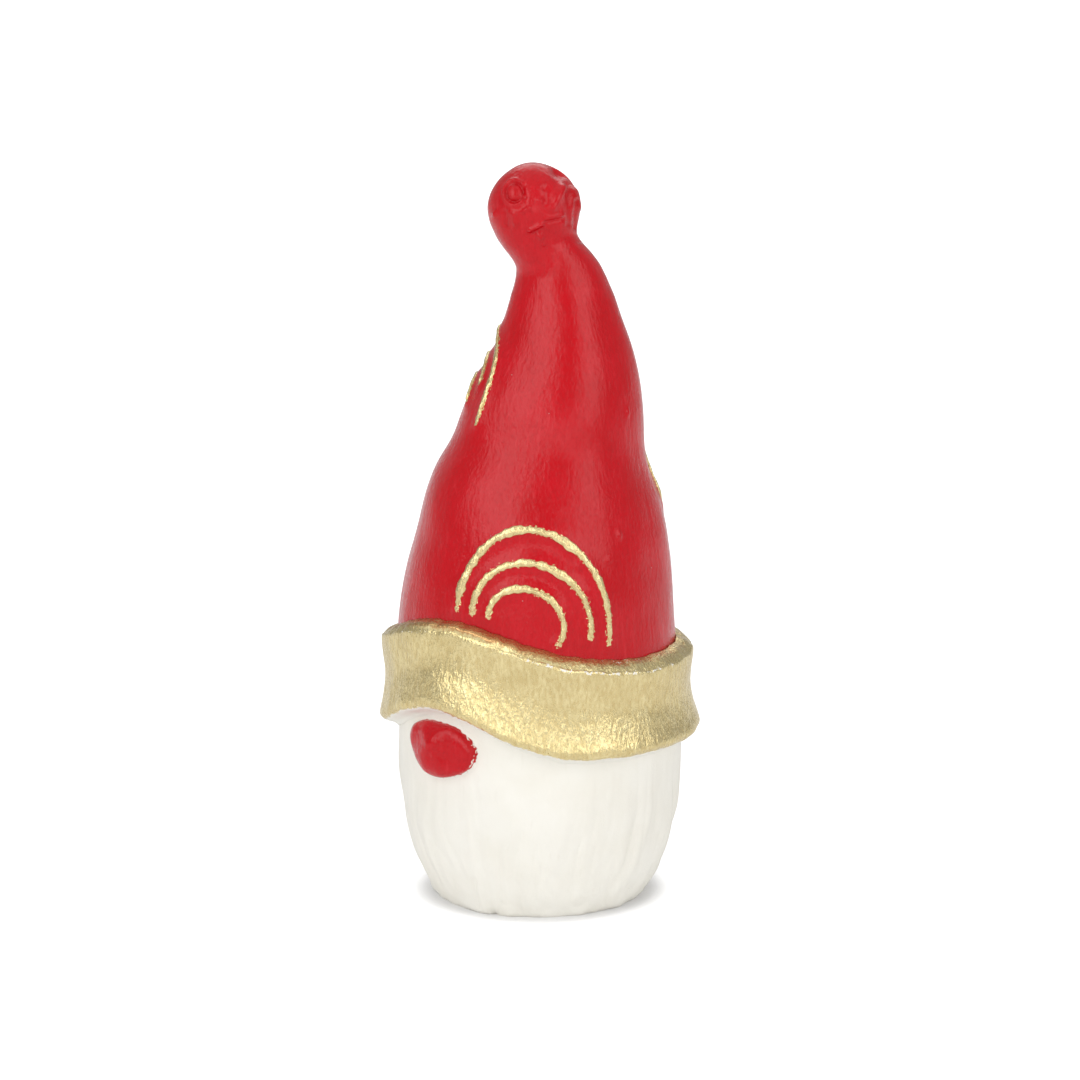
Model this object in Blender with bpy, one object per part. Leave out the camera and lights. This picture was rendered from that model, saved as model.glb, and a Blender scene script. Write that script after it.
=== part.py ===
"""Garden gnome: a small hand-built stoneware gnome with a tall hat, no limbs and no separate base.

The pieces are formed one by one and luted together: a hollow beard pot with a disc let into its foot,
a hollow hat that drops over the pot's collar, a cuff round that joint, a nose and a pompom on pegs, and
arch-shaped clay coils laid in shallow grooves in the hat. Everywhere the luting gap is JOINT_GAP.

+Z is up, the nose points along -Y, and the origin is the middle of the flat foot.
An azimuth is measured from the nose, positive towards +X. Everything is in metres.
"""

import math

import bmesh
import bpy
from mathutils import Matrix, Vector

MM = 0.001

# Driving dimensions
JOINT_GAP = 0.3 * MM
WALL = 3.9 * MM
SPLIT_HEIGHT = 36.0 * MM  # the pot ends and the hat begins, under the cuff

# Beard pot: (height, outer radius)
BEARD_PROFILE = (
    (0.0, 16.8),
    (0.7, 17.5),
    (2.5, 18.5),
    (4.5, 19.5),
    (8.0, 20.9),
    (12.5, 22.0),
    (17.5, 22.8),
    (23.0, 23.2),
    (30.0, 23.1),
    (36.0, 22.7),
)
STRANDS = 30
STRAND_DEPTH = 0.15 * MM
STRAND_TOP = 24.0 * MM  # the carved strands fade out here, under the cuff

COLLAR_RADIUS = 17.2 * MM
COLLAR_BORE = 14.2 * MM
COLLAR_HEIGHT = 5.5 * MM

DISC_RADIUS = 14.7 * MM
DISC_THICKNESS = 3.4 * MM
DISC_LEDGE = 2.2 * MM  # how far the pot's wall reaches in over the disc
VENT_RADIUS = 3.0 * MM
VENT_OFFSET = 7.5 * MM

# Hat: (height, lean of the section's centre, section radius)
HAT_PROFILE = (
    (36.0, 0.0, 22.7),
    (42.0, -0.5, 22.7),
    (48.0, -0.6, 22.3),
    (54.0, -0.4, 21.6),
    (60.0, 0.0, 20.3),
    (66.0, 0.0, 18.9),
    (71.0, 0.0, 17.2),
    (75.5, 1.1, 15.5),
    (80.0, 1.9, 14.6),
    (85.0, 2.7, 13.2),
    (90.0, 3.7, 11.2),
    (95.0, 3.7, 9.4),
    (100.0, 3.5, 7.9),
    (103.5, 3.1, 6.7),
    (107.0, 0.8, 6.2),
    (110.5, -0.9, 3.8),
)
LEAN_AZIMUTH = math.radians(138)  # back and to the gnome's left
HAND_FORMED = 0.30 * MM  # depth of the soft flats that hands leave in the clay
HAT_CAVITY_TOP = 92.0 * MM

# Cuff: its edges run level round the head and arch up over the nose
CUFF_LOW = 27.8 * MM
CUFF_LOW_ARCH = 7.2 * MM
CUFF_LOW_SPREAD = math.radians(24)
CUFF_TOP = 42.8 * MM
CUFF_TOP_ARCH = 6.6 * MM
CUFF_TOP_SPREAD = math.radians(32)
CUFF_LIP_RADIUS = 26.15 * MM
CUFF_WAIST_RADIUS = 24.8 * MM
CUFF_RIDGE_RADIUS = 25.3 * MM
CUFF_BEVEL = 2.2 * MM  # height of the sloping top face
CUFF_UNDERSIDE = 0.4 * MM  # height of the face under the lip
CUFF_SAG = 2.2 * MM  # the underside reaches this much lower where the strip's ends meet
CUFF_SAG_AZIMUTH = 150
CUFF_SAG_SPREAD = math.radians(25)

POMPOM_RADIUS = 7.45 * MM
POMPOM_HEIGHT = 112.55 * MM
POMPOM_LEAN = -1.0 * MM
POMPOM_TILT = math.radians(22)
PEG_RADIUS = 2.0 * MM
POMPOM_PEG = 4.5 * MM

NOSE_HEIGHT = 28.2 * MM
NOSE_HALF_WIDTH = 7.0 * MM
NOSE_HALF_HEIGHT = 4.5 * MM
NOSE_STANDS_OUT = 2.6 * MM
NOSE_PEG = 2.6 * MM

# Arch coils: each motif is three nested arches, as (name, azimuth in degrees, height of the feet,
# slope of the line through the feet, scale, turn by which the two smaller arches' left-hand ends stop short)
MOTIFS = (
    ("left", 40.5, 49.9, -0.13, 1.0, 0.0),
    ("back", 169.0, 64.8, 0.05, 0.83, 0.0),
    ("right", -98.0, 49.5, 0.04, 1.0, 0.0),
    ("upper_right", -51.0, 81.3, 0.0, 0.83, 0.65),
    ("upper_back", -152.0, 83.5, -0.03, 0.68, 0.0),
)
# (name, half width, height, shift of the middle, turn past the foot on the gnome's left)
ARCHES = (
    ("outer", 12.5, 14.4, 0.2, 0.12),
    ("middle", 9.6, 9.3, 0.0, 0.12),
    ("inner", 6.0, 5.2, -0.8, 0.50),
)
SQUARENESS = 0.93  # 1 makes the arches half ellipses, less makes their shoulders fuller
COIL_HALF_WIDTH = 0.65 * MM
COIL_SUNK = 0.45 * MM
COIL_PROUD = 0.55 * MM

BEARD_SEGMENTS = 2 * STRANDS
HAT_SEGMENTS = 48
CUFF_SEGMENTS = 60
COIL_STEPS = 20


def material(name, colour, roughness, metallic=0.0):
    """A Principled material of one colour."""
    made = bpy.data.materials.new(name)
    made.use_nodes = True
    shader = made.node_tree.nodes["Principled BSDF"]
    shader.inputs["Base Color"].default_value = (*colour, 1.0)
    shader.inputs["Roughness"].default_value = roughness
    shader.inputs["Metallic"].default_value = metallic
    return made


def along(stations, height, column=1):
    """A station table's column at a height, on a smooth curve through the stations. The table is in mm."""
    height = min(max(height / MM, stations[0][0]), stations[-1][0])
    last = len(stations) - 2
    i = min(last, sum(1 for station in stations[1:-1] if station[0] <= height))
    low, high = stations[i], stations[i + 1]
    before, after = stations[max(i - 1, 0)], stations[min(i + 2, last + 1)]
    span = high[0] - low[0]
    t = (height - low[0]) / span
    slope_low = (high[column] - before[column]) / (high[0] - before[0])
    slope_high = (after[column] - low[column]) / (after[0] - low[0])
    return MM * (
        (2 * t**3 - 3 * t**2 + 1) * low[column]
        + (t**3 - 2 * t**2 + t) * span * slope_low
        + (3 * t**2 - 2 * t**3) * high[column]
        + (t**3 - t**2) * span * slope_high
    )


def polar(azimuth, radius, height, lean=0.0):
    """A point round an axis that stands lean away from the origin, towards LEAN_AZIMUTH."""
    return Vector(
        (
            lean * math.sin(LEAN_AZIMUTH) + radius * math.sin(azimuth),
            -lean * math.cos(LEAN_AZIMUTH) - radius * math.cos(azimuth),
            height,
        )
    )


def beard_point(azimuth, height, offset=0.0):
    """The pot's outside, offset outwards, with its carved strands."""
    fade = min(1.0, max(0.0, (STRAND_TOP - height) / (0.4 * STRAND_TOP)))
    strand = STRAND_DEPTH * fade * math.cos(STRANDS * azimuth)
    return polar(azimuth, along(BEARD_PROFILE, height) + strand + offset, height)


def hat_point(azimuth, height, offset=0.0):
    """The hat's outside, offset sideways, with soft flats that fade out under the cuff."""
    fade = min(1.0, max(0.0, (height - CUFF_TOP) / (12 * MM)))
    twist = height / (30 * MM)
    flats = HAND_FORMED * fade * math.sin(5 * azimuth + twist)
    radius = along(HAT_PROFILE, height, 2) + flats + offset
    return polar(azimuth, radius, height, along(HAT_PROFILE, height, 1))


def hat_frame(azimuth, height):
    """The hat's outward normal at a point."""
    step = 0.02
    round_it = hat_point(azimuth + step, height) - hat_point(azimuth - step, height)
    up_it = hat_point(azimuth, height + step * MM) - hat_point(azimuth, height - step * MM)
    return round_it.cross(up_it).normalized()


def swell(azimuth, middle, spread):
    """1 at an azimuth in degrees, falling smoothly to 0 on both sides of it."""
    turn = (azimuth - math.radians(middle) + math.pi) % (2 * math.pi) - math.pi
    return math.exp(-0.5 * (turn / spread) ** 2)


def cuff_low(azimuth):
    return CUFF_LOW + CUFF_LOW_ARCH * swell(azimuth, 2, CUFF_LOW_SPREAD)


def cuff_top(azimuth):
    return CUFF_TOP + CUFF_TOP_ARCH * swell(azimuth, 5, CUFF_TOP_SPREAD)


def turns(count):
    """Azimuths of evenly spaced points round a circle."""
    return [2 * math.pi * i / count for i in range(count)]


def loft(name, rings, finish, ring_of_rings=False):
    """One closed body skinned over rings of points. Its ends are capped, or joined to each other."""
    bm = bmesh.new()
    loops = [[bm.verts.new(point) for point in ring] for ring in rings]
    pairs = list(zip(loops, loops[1:]))
    if ring_of_rings:
        pairs.append((loops[-1], loops[0]))
    else:
        bm.faces.new(loops[0])
        bm.faces.new(loops[-1])
    for low, high in pairs:
        for i in range(len(low)):
            j = (i + 1) % len(low)
            bm.faces.new((low[i], low[j], high[j], high[i]))
    bmesh.ops.recalc_face_normals(bm, faces=bm.faces)
    return finished(name, bm, finish)


def finished(name, bm, finish):
    """The bmesh as a named, smooth-shaded object in the scene."""
    mesh = bpy.data.meshes.new(name)
    bm.to_mesh(mesh)
    bm.free()
    mesh.shade_smooth()
    mesh.set_sharp_from_angle(angle=math.radians(35))
    mesh.materials.append(finish)
    made = bpy.data.objects.new(name, mesh)
    bpy.context.scene.collection.objects.link(made)
    return made


def cylinder(name, radius, length, finish, sides=32):
    """A cylinder standing on its object's origin, along its own +Z."""
    bm = bmesh.new()
    bmesh.ops.create_cone(
        bm,
        cap_ends=True,
        segments=sides,
        radius1=radius,
        radius2=radius,
        depth=length,
        matrix=Matrix.Translation((0, 0, length / 2)),
    )
    return finished(name, bm, finish)


def cut(target, cutter):
    """Takes a helper shape out of a piece, and keeps the helper out of the object."""
    cutter.hide_render = True
    cutter.display_type = "WIRE"
    modifier = target.modifiers.new("cut_" + cutter.name, "BOOLEAN")
    modifier.operation = "DIFFERENCE"
    modifier.solver = "EXACT"
    modifier.object = cutter


def beard_body(clay):
    """Pot with carved strands outside, a rebate in its foot and a collar on its shoulder."""
    ledge_radius = DISC_RADIUS + JOINT_GAP
    throat = ledge_radius - DISC_LEDGE
    ledge = DISC_THICKNESS + JOINT_GAP
    collar_top = SPLIT_HEIGHT + COLLAR_HEIGHT
    heights = [MM * z for z in (0, 0.6, 2, 4.5, 7, 10, 13, 16, 19, 22, 24, 27, 30, 33, 36)]
    outside = [[beard_point(a, z) for a in turns(BEARD_SEGMENTS)] for z in heights]
    inside_profile = (
        (COLLAR_RADIUS, SPLIT_HEIGHT),
        (COLLAR_RADIUS, collar_top),
        (COLLAR_BORE, collar_top),
        (COLLAR_BORE, SPLIT_HEIGHT - WALL),
        (along(BEARD_PROFILE, 26 * MM) - WALL, 26 * MM),
        (along(BEARD_PROFILE, 16 * MM) - WALL, 16 * MM),
        (along(BEARD_PROFILE, 9 * MM) - WALL, 9 * MM),
        (throat, ledge + 2 * MM),
        (throat, ledge),
        (ledge_radius, ledge),
        (ledge_radius, 0.0),
    )
    inside = [[polar(a, r, z) for a in turns(BEARD_SEGMENTS)] for r, z in inside_profile]
    body = loft("beard_body", outside + inside, clay, ring_of_rings=True)
    socket = cylinder("nose_socket", PEG_RADIUS + JOINT_GAP, 2 * WALL, clay, sides=20)
    socket.rotation_euler = (math.radians(90), 0, 0)
    wall = along(BEARD_PROFILE, NOSE_HEIGHT)
    socket.location = (0, -(wall - NOSE_PEG - JOINT_GAP), NOSE_HEIGHT)
    cut(body, socket)
    return body


def base_disc(clay):
    """Disc let into the foot, with the vent that lets steam out of the hollow gnome in the kiln."""
    disc = cylinder("base_disc", DISC_RADIUS, DISC_THICKNESS, clay, sides=BEARD_SEGMENTS)
    vent = cylinder("vent", VENT_RADIUS, 3 * DISC_THICKNESS, clay, sides=24)
    vent.location = (0, VENT_OFFSET, -DISC_THICKNESS)
    cut(disc, vent)
    return disc


def nose(glaze):
    """Dome that lies on the pot's face, with a peg behind it."""
    radius = along(BEARD_PROFILE, NOSE_HEIGHT)
    angles = turns(24)

    def dome_ring(share, stands):
        return [
            polar(
                share * NOSE_HALF_WIDTH * math.cos(k) / radius,
                along(BEARD_PROFILE, NOSE_HEIGHT + share * NOSE_HALF_HEIGHT * math.sin(k)) + stands,
                NOSE_HEIGHT + share * NOSE_HALF_HEIGHT * math.sin(k),
            )
            for k in angles
        ]

    def peg_ring(depth):
        return [
            Vector((PEG_RADIUS * math.cos(k), depth - radius, NOSE_HEIGHT + PEG_RADIUS * math.sin(k)))
            for k in angles
        ]

    rings = [
        dome_ring(math.sin(tilt), JOINT_GAP + (NOSE_STANDS_OUT - JOINT_GAP) * math.cos(tilt))
        for tilt in (math.radians(degrees) for degrees in (8, 22, 36, 50, 64, 78, 90))
    ]
    rings += [peg_ring(-JOINT_GAP), peg_ring(NOSE_PEG)]
    return loft("nose", rings, glaze)


def hat_shell(glaze, pompom_place):
    """Hollow bent cone that sits over the collar, with a cupped seat for the pompom at its tip."""
    bore = COLLAR_RADIUS + JOINT_GAP
    foot = SPLIT_HEIGHT + JOINT_GAP
    around = turns(HAT_SEGMENTS)
    outer_heights = [foot] + [MM * z for z in (39, 42, 45, 48, 51, 54, 57, 60, 63, 66, 69, 72, 75, 78)]
    outer_heights += [MM * z for z in (81, 84, 87, 90, 93, 96, 99, 101.5, 103.5, 105.5, 107.5, 109.3, 111)]
    outside = [[hat_point(a, z) for a in around] for z in reversed(outer_heights)]
    inside = [
        [polar(a, bore, z) for a in around]
        for z in (foot, SPLIT_HEIGHT + COLLAR_HEIGHT + JOINT_GAP)
    ]
    for z in (46, 54, 62, 70, 77, 84, 89):
        inside.append([hat_point(a, MM * z, -WALL) for a in around])
    inside.append([hat_point(a, HAT_CAVITY_TOP, -2 * WALL) for a in around])
    hat = loft("hat_shell", outside + inside, glaze)

    seat = bpy.data.objects.new("pompom_seat", bpy.data.meshes.new("pompom_seat"))
    bm = bmesh.new()
    bmesh.ops.create_uvsphere(bm, u_segments=32, v_segments=20, radius=POMPOM_RADIUS + JOINT_GAP)
    bm.to_mesh(seat.data)
    bm.free()
    bpy.context.scene.collection.objects.link(seat)
    seat.matrix_world = pompom_place
    cut(hat, seat)

    reach = POMPOM_RADIUS + POMPOM_PEG + JOINT_GAP
    socket = cylinder("pompom_socket", PEG_RADIUS + JOINT_GAP, reach, glaze, sides=20)
    socket.matrix_world = pompom_place @ Matrix.Rotation(math.pi, 4, "X")
    cut(hat, socket)
    return hat


def pompom_frame():
    """Where the pompom stands: its middle, with its own -Z down its peg into the tilted hat tip."""
    middle = polar(0, 0, POMPOM_HEIGHT, POMPOM_LEAN)
    tilt_axis = Vector((-math.cos(LEAN_AZIMUTH), -math.sin(LEAN_AZIMUTH), 0))
    return Matrix.Translation(middle) @ Matrix.Rotation(POMPOM_TILT, 4, tilt_axis)


def pompom(glaze, place):
    """Ball turned in one with the peg that holds it in the hat's tip."""
    neck = math.asin(PEG_RADIUS / POMPOM_RADIUS)
    peg_end = -POMPOM_RADIUS - POMPOM_PEG
    profile = [(PEG_RADIUS, peg_end)]
    bands = 12
    for i in range(bands):
        angle = neck + (math.pi - neck - 0.12) * i / (bands - 1)
        profile.append((POMPOM_RADIUS * math.sin(angle), -POMPOM_RADIUS * math.cos(angle)))
    rings = [[Vector((r * math.cos(a), r * math.sin(a), h)) for a in turns(28)] for r, h in profile]
    made = loft("pompom", rings, glaze)
    made.matrix_world = place
    return made


def hat_cuff(gilt):
    """Strip of clay round the joint: a sloping top face, a hollow side and a lip that flares out."""
    sections = []
    for azimuth in turns(CUFF_SEGMENTS):
        low, top = cuff_low(azimuth), cuff_top(azimuth)
        ridge = top - CUFF_BEVEL
        under = low - CUFF_UNDERSIDE - CUFF_SAG * swell(azimuth, CUFF_SAG_AZIMUTH, CUFF_SAG_SPREAD)
        shift = along(HAT_PROFILE, ridge, 1)
        outside = (
            (CUFF_LIP_RADIUS - 0.8 * MM, low, 0.0),
            (CUFF_LIP_RADIUS - 0.2 * MM, low + 0.6 * MM, 0.0),
            (CUFF_LIP_RADIUS, low + 1.5 * MM, 0.0),
            (CUFF_WAIST_RADIUS + 0.7 * MM, low + 4.0 * MM, 0.4 * shift),
            (CUFF_WAIST_RADIUS, 0.4 * low + 0.6 * ridge, 0.8 * shift),
            (CUFF_RIDGE_RADIUS, ridge - 0.2 * MM, shift),
            (CUFF_RIDGE_RADIUS - 0.4 * MM, ridge + 0.9 * MM, shift),
            (CUFF_RIDGE_RADIUS - 1.3 * MM, top - 0.5 * MM, shift),
        )
        section = [polar(azimuth, r, z, lean) for r, z, lean in outside]
        section += [hat_point(azimuth, z, JOINT_GAP) for z in (top, top - 2.5 * MM, 39.5 * MM)]
        section += [hat_point(azimuth, SPLIT_HEIGHT, JOINT_GAP), beard_point(azimuth, under, JOINT_GAP)]
        sections.append(section)
    return loft("hat_cuff", sections, gilt, ring_of_rings=True)


def coil_sections(motif, arch, grow=0.0):
    """Sections of one arch coil along its path on the hat. A positive grow gives its groove's cutter."""
    _, middle, feet, slope, scale, short = motif
    _, half_width, rise, shift, past = arch
    feet_azimuth = math.radians(middle)
    radius = along(HAT_PROFILE, feet * MM, 2)
    overrun = grow / (half_width * scale * MM)
    end = math.pi + past
    if arch != ARCHES[0]:
        end -= short

    def on_hat(turn):
        across = scale * (shift - half_width * math.cos(turn))
        lift = math.copysign(abs(math.sin(turn)) ** SQUARENESS, math.sin(turn))
        up = feet + scale * rise * lift + slope * across
        return feet_azimuth + across * MM / radius, up * MM

    sections = []
    for i in range(COIL_STEPS + 1):
        turn = -overrun + (end + 2 * overrun) * i / COIL_STEPS
        azimuth, height = on_hat(turn)
        point = hat_point(azimuth, height)
        normal = hat_frame(azimuth, height)
        forward = hat_point(*on_hat(turn + 0.01)) - hat_point(*on_hat(turn - 0.01))
        side = normal.cross(forward).normalized()
        half, sunk = COIL_HALF_WIDTH + grow, COIL_SUNK + grow
        proud = 4 * COIL_PROUD if grow else COIL_PROUD
        shoulder = 0.5 * proud
        outline = (
            (-half, -sunk),
            (half, -sunk),
            (half, shoulder),
            (0.4 * half, proud),
            (-0.4 * half, proud),
            (-half, shoulder),
        )
        sections.append([point + side * a + normal * b for a, b in outline])
    return sections


def arch_coils(hat, glaze, gilt):
    """All the arch coils, each in its own groove in the hat."""
    for motif in MOTIFS:
        for arch in ARCHES:
            name = f"arch_{motif[0]}_{arch[0]}"
            loft(name, coil_sections(motif, arch), gilt)
            cut(hat, loft("groove_" + name, coil_sections(motif, arch, JOINT_GAP), glaze))


def main():
    for old in list(bpy.data.objects):
        bpy.data.objects.remove(old, do_unlink=True)
    white_clay = material("white_clay", (0.90, 0.88, 0.81), 0.6)
    red_paint = material("red_paint", (0.62, 0.02, 0.03), 0.35)
    gold_paint = material("gold_paint", (0.72, 0.56, 0.25), 0.4, metallic=0.9)
    place = pompom_frame()
    beard_body(white_clay)
    base_disc(white_clay)
    nose(red_paint)
    hat = hat_shell(red_paint, place)
    pompom(red_paint, place)
    hat_cuff(gold_paint)
    arch_coils(hat, red_paint, gold_paint)


main()
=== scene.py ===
"""Garden gnome: the visual model, a finely worked skin over each CAD piece, with its paint.

+Z is up, the nose points along -Y, and the origin is the middle of the flat foot.
An azimuth is measured from the nose, positive towards +X. Lengths in tables are in mm of a 120 mm gnome.
"""

import math

import bpy
import numpy as np
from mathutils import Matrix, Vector, noise


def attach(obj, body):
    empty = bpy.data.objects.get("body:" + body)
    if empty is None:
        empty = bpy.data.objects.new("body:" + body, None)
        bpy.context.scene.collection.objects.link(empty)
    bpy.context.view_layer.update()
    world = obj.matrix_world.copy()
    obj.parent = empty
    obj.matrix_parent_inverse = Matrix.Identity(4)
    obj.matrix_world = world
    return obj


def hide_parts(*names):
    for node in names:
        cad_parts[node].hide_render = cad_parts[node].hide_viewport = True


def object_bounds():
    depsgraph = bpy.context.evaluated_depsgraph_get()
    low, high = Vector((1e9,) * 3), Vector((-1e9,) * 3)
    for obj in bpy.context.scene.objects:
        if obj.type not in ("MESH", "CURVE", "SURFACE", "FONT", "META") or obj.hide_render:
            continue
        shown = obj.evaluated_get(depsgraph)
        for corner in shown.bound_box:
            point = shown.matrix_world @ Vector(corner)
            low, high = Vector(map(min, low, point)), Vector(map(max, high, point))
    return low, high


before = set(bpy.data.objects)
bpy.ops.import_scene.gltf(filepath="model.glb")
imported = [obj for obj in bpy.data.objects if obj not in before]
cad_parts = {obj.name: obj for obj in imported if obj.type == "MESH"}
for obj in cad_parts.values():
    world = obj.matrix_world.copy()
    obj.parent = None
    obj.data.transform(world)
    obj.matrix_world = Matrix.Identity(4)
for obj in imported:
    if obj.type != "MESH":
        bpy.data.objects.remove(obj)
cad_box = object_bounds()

MM = (cad_box[1][2] - cad_box[0][2]) / 120.0  # one millimetre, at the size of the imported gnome

# The pieces' shapes, as in the CAD
JOINT_GAP = 0.3
WALL = 3.9
SPLIT_HEIGHT = 36.0
BEARD_PROFILE = (
    (0.0, 16.8),
    (0.7, 17.5),
    (2.5, 18.5),
    (4.5, 19.5),
    (8.0, 20.9),
    (12.5, 22.0),
    (17.5, 22.8),
    (23.0, 23.2),
    (30.0, 23.1),
    (36.0, 22.7),
)
STRANDS = 30
STRAND_TOP = 24.0
COLLAR_RADIUS = 17.2
COLLAR_BORE = 14.2
COLLAR_HEIGHT = 5.5
DISC_RADIUS = 14.7
DISC_THICKNESS = 3.4
DISC_LEDGE = 2.2
HAT_PROFILE = (
    (36.0, 0.0, 22.7),
    (42.0, -0.5, 22.7),
    (48.0, -0.6, 22.3),
    (54.0, -0.4, 21.6),
    (60.0, 0.0, 20.3),
    (66.0, 0.0, 18.9),
    (71.0, 0.0, 17.2),
    (75.5, 1.1, 15.5),
    (80.0, 1.9, 14.6),
    (85.0, 2.7, 13.2),
    (90.0, 3.7, 11.2),
    (95.0, 3.7, 9.4),
    (100.0, 3.5, 7.9),
    (103.5, 3.1, 6.7),
    (107.0, 0.8, 6.2),
    (110.5, -0.9, 3.8),
)
LEAN_AZIMUTH = math.radians(138)
HAT_CAVITY_TOP = 92.0
CUFF_LOW = 27.8
CUFF_LOW_ARCH = 7.2  # how much higher the lip is over the nose
CUFF_TOP = 42.8
CUFF_TOP_ARCH = 6.6
CUFF_LIP_RADIUS = 26.15
CUFF_WAIST_RADIUS = 24.8
CUFF_RIDGE_RADIUS = 25.3
CUFF_BEVEL = 2.2
CUFF_UNDERSIDE = 0.4
CUFF_SAG = 2.2
CUFF_SAG_AZIMUTH = 150
POMPOM_RADIUS = 7.45
POMPOM_HEIGHT = 112.55
POMPOM_LEAN = -1.0
NOSE_HEIGHT = 28.2
NOSE_HALF_WIDTH = 7.0
NOSE_HALF_HEIGHT = 4.5
NOSE_STANDS_OUT = 2.6
# (name, azimuth in degrees, height of the feet, slope of the line through the feet, scale, turn by which
# the two smaller arches' left-hand ends stop short)
MOTIFS = (
    ("left", 40.5, 49.9, -0.13, 1.0, 0.0),
    ("back", 169.0, 64.8, 0.05, 0.83, 0.0),
    ("right", -98.0, 49.5, 0.04, 1.0, 0.0),
    ("upper_right", -51.0, 81.3, 0.0, 0.83, 0.65),
    ("upper_back", -152.0, 83.5, -0.03, 0.68, 0.0),
)
# (name, half width, height, shift of the middle, turn past the foot on the gnome's left)
ARCHES = (
    ("outer", 12.5, 14.4, 0.2, 0.12),
    ("middle", 9.6, 9.3, 0.0, 0.12),
    ("inner", 6.0, 5.2, -0.8, 0.50),
)
SQUARENESS = 0.93  # 1 makes the arches half ellipses, less makes their shoulders fuller

# Dabs of paint on the hat: azimuth in degrees, height, half width and half height in mm
HAT_DABS = (
    (99.9, 81.0, 0.35, 0.7),
    (82.8, 62.6, 0.40, 0.6),
    (74.7, 59.1, 0.50, 0.35),
    (59.6, 58.8, 0.40, 0.7),
    (-70.0, 70.0, 0.40, 0.6),
    (-160.0, 58.0, 0.50, 0.5),
)
# Nicks and folds in the beard, left of the nose and right: start and end as (mm round, mm up),
# half width and depth in mm
BEARD_NICKS = (
    ((4.5, 6.6), (3.7, 0.9), 0.35, 0.28),
    ((8.9, 2.9), (9.1, 2.6), 0.25, 0.30),
    ((6.4, 0.7), (6.5, 0.0), 0.55, 0.28),
    ((16.0, 9.5), (15.2, 3.2), 0.45, 0.14),
    ((24.5, 13.0), (23.8, 6.0), 0.5, 0.12),
    ((-14.0, 10.0), (-12.6, 2.6), 0.5, 0.2),
    ((-38.0, 12.0), (-37.0, 3.0), 0.5, 0.18),
)
BEARD_NICK_RADIUS = 21.0  # the mm round are measured at this radius

# The hat and its tip. The profile's bends are softened by an average over steps up and down.
PROFILE_STEPS = (-1.8, -1.2, -0.6, 0.0, 0.6, 1.2, 1.8)
TIP_FILLET = 2.8  # how widely the hat's tip and the ball run together
TIP_START = 98.0
TIP_TOP = 108.5
SEAM_HEIGHT = 107.2
SEAM_DIP = 0.12  # how fast each skin dips under the other past the seam
BURIED = 2.4  # the ball's skin is inside the hat where the fillet stands out more than this

# The ball's worked face looks this way, in degrees
BALL_FACE_AZIMUTH = 43
BALL_FACE_RISE = 12
# Dabs, creases and a fold on that face: one end, other end, half width and height, all in mm
BALL_MARKS = (
    ((-1.6, 3.0), (-1.45, 1.1), 0.32, -0.22),
    ((0.9, 0.7), (1.2, 0.5), 0.45, 0.14),
    ((-1.5, -1.0), (-0.9, -0.5), 0.30, 0.20),
    ((-6.2, -1.0), (-6.2, -1.3), 0.40, 0.14),
    ((-3.2, -1.4), (-2.9, -2.7), 0.50, 0.16),
    ((-4.6, -1.0), (-4.4, -2.9), 0.35, -0.14),
    ((2.9, -0.3), (4.6, 2.8), 0.75, 0.32),
    ((1.9, 2.6), (2.6, 0.2), 0.7, -0.14),
    ((-0.5, -3.9), (1.2, -3.0), 0.35, 0.20),
    ((-0.6, -4.6), (1.4, -3.6), 0.34, -0.09),
    ((1.9, -2.1), (4.6, -1.5), 0.35, 0.10),
    ((2.0, -2.7), (4.6, -2.1), 0.38, -0.09),
    ((5.4, 3.6), (5.7, -2.6), 0.65, -0.18),
    ((6.6, 1.0), (6.7, -3.2), 0.35, -0.20),
    ((6.5, 2.4), (6.9, 0.2), 0.9, 0.20),
    ((0.9, -4.6), (1.1, -4.9), 0.42, 0.26),
    ((1.3, -5.7), (1.5, -5.9), 0.38, 0.24),
)
BALL_MARK_STRENGTH = 2.2

# Arch coils, as they lie on the worked hat
COIL_HALF_WIDTH = 0.60
COIL_RISE = 0.30
COIL_ROOT = 0.6  # how far a coil reaches into the hat
ARCH_REACH = 9.0  # distances from an arch aren't worked out beyond this

# How finely each skin is divided
BEARD_AROUND = 480
HAT_AROUND = 440
CUFF_AROUND = 540
CUFF_SPAN_STEPS = 6
COIL_STEPS = 150
COIL_DISTANCE_STEPS = 90
POMPOM_RINGS = 150
POMPOM_AROUND = 220
NOSE_RINGS = 46
NOSE_AROUND = 160
HALVINGS = 26  # of the span in which the filleted tip's surface is looked for

# Soft lights: name, azimuth and elevation in degrees, distance, width and height in metres, power in watts
LIGHTS = (
    ("key", -2, 32, 1.30, 0.98, 0.92, 7.0),
    ("fill", 97, 28, 1.30, 0.85, 0.92, 5.2),
    ("low_card", 42, 12, 1.45, 1.90, 0.25, 3.4),
    ("top", 0, 90, 1.30, 1.60, 1.60, 3.5),
    ("back", -140, 36, 1.50, 1.00, 0.80, 3.8),
)
LIGHT_AIM = 60.0  # height that the lights point at
ROOM_BRIGHTNESS = 0.38

# The floor, and how far from the origin its glow begins, is whole, and grows again. The glow's rise round
# the foot makes a painted contact shadow.
FLOOR_HALF_WIDTH = 6.0  # metres
FLOOR_CELLS = 12
# The glow is nothing up to the next distance and whole at the one after: a painted contact shadow on the
# floor round the foot
PAINTED_SHADOW_INNER = 17.7
PAINTED_SHADOW_OUTER = 23
NEAR_GLOW = 0.55
FAR_GLOW_REACH = (0.15, 1.6)  # metres
FAR_GLOW = 0.40
UNSEEN_GLOW_SHARE = 0.2  # of the glow, as it lights the gnome

CAMERA_AZIMUTH = 43
CAMERA_ELEVATION = 12
CAMERA_DISTANCE = 600.0
CAMERA_AIM = 58.6  # height that the camera points at
CAMERA_LENS = 123.2
CAMERA_SENSOR = 36.0


# ---------------------------------------------------------------- shape helpers


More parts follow.
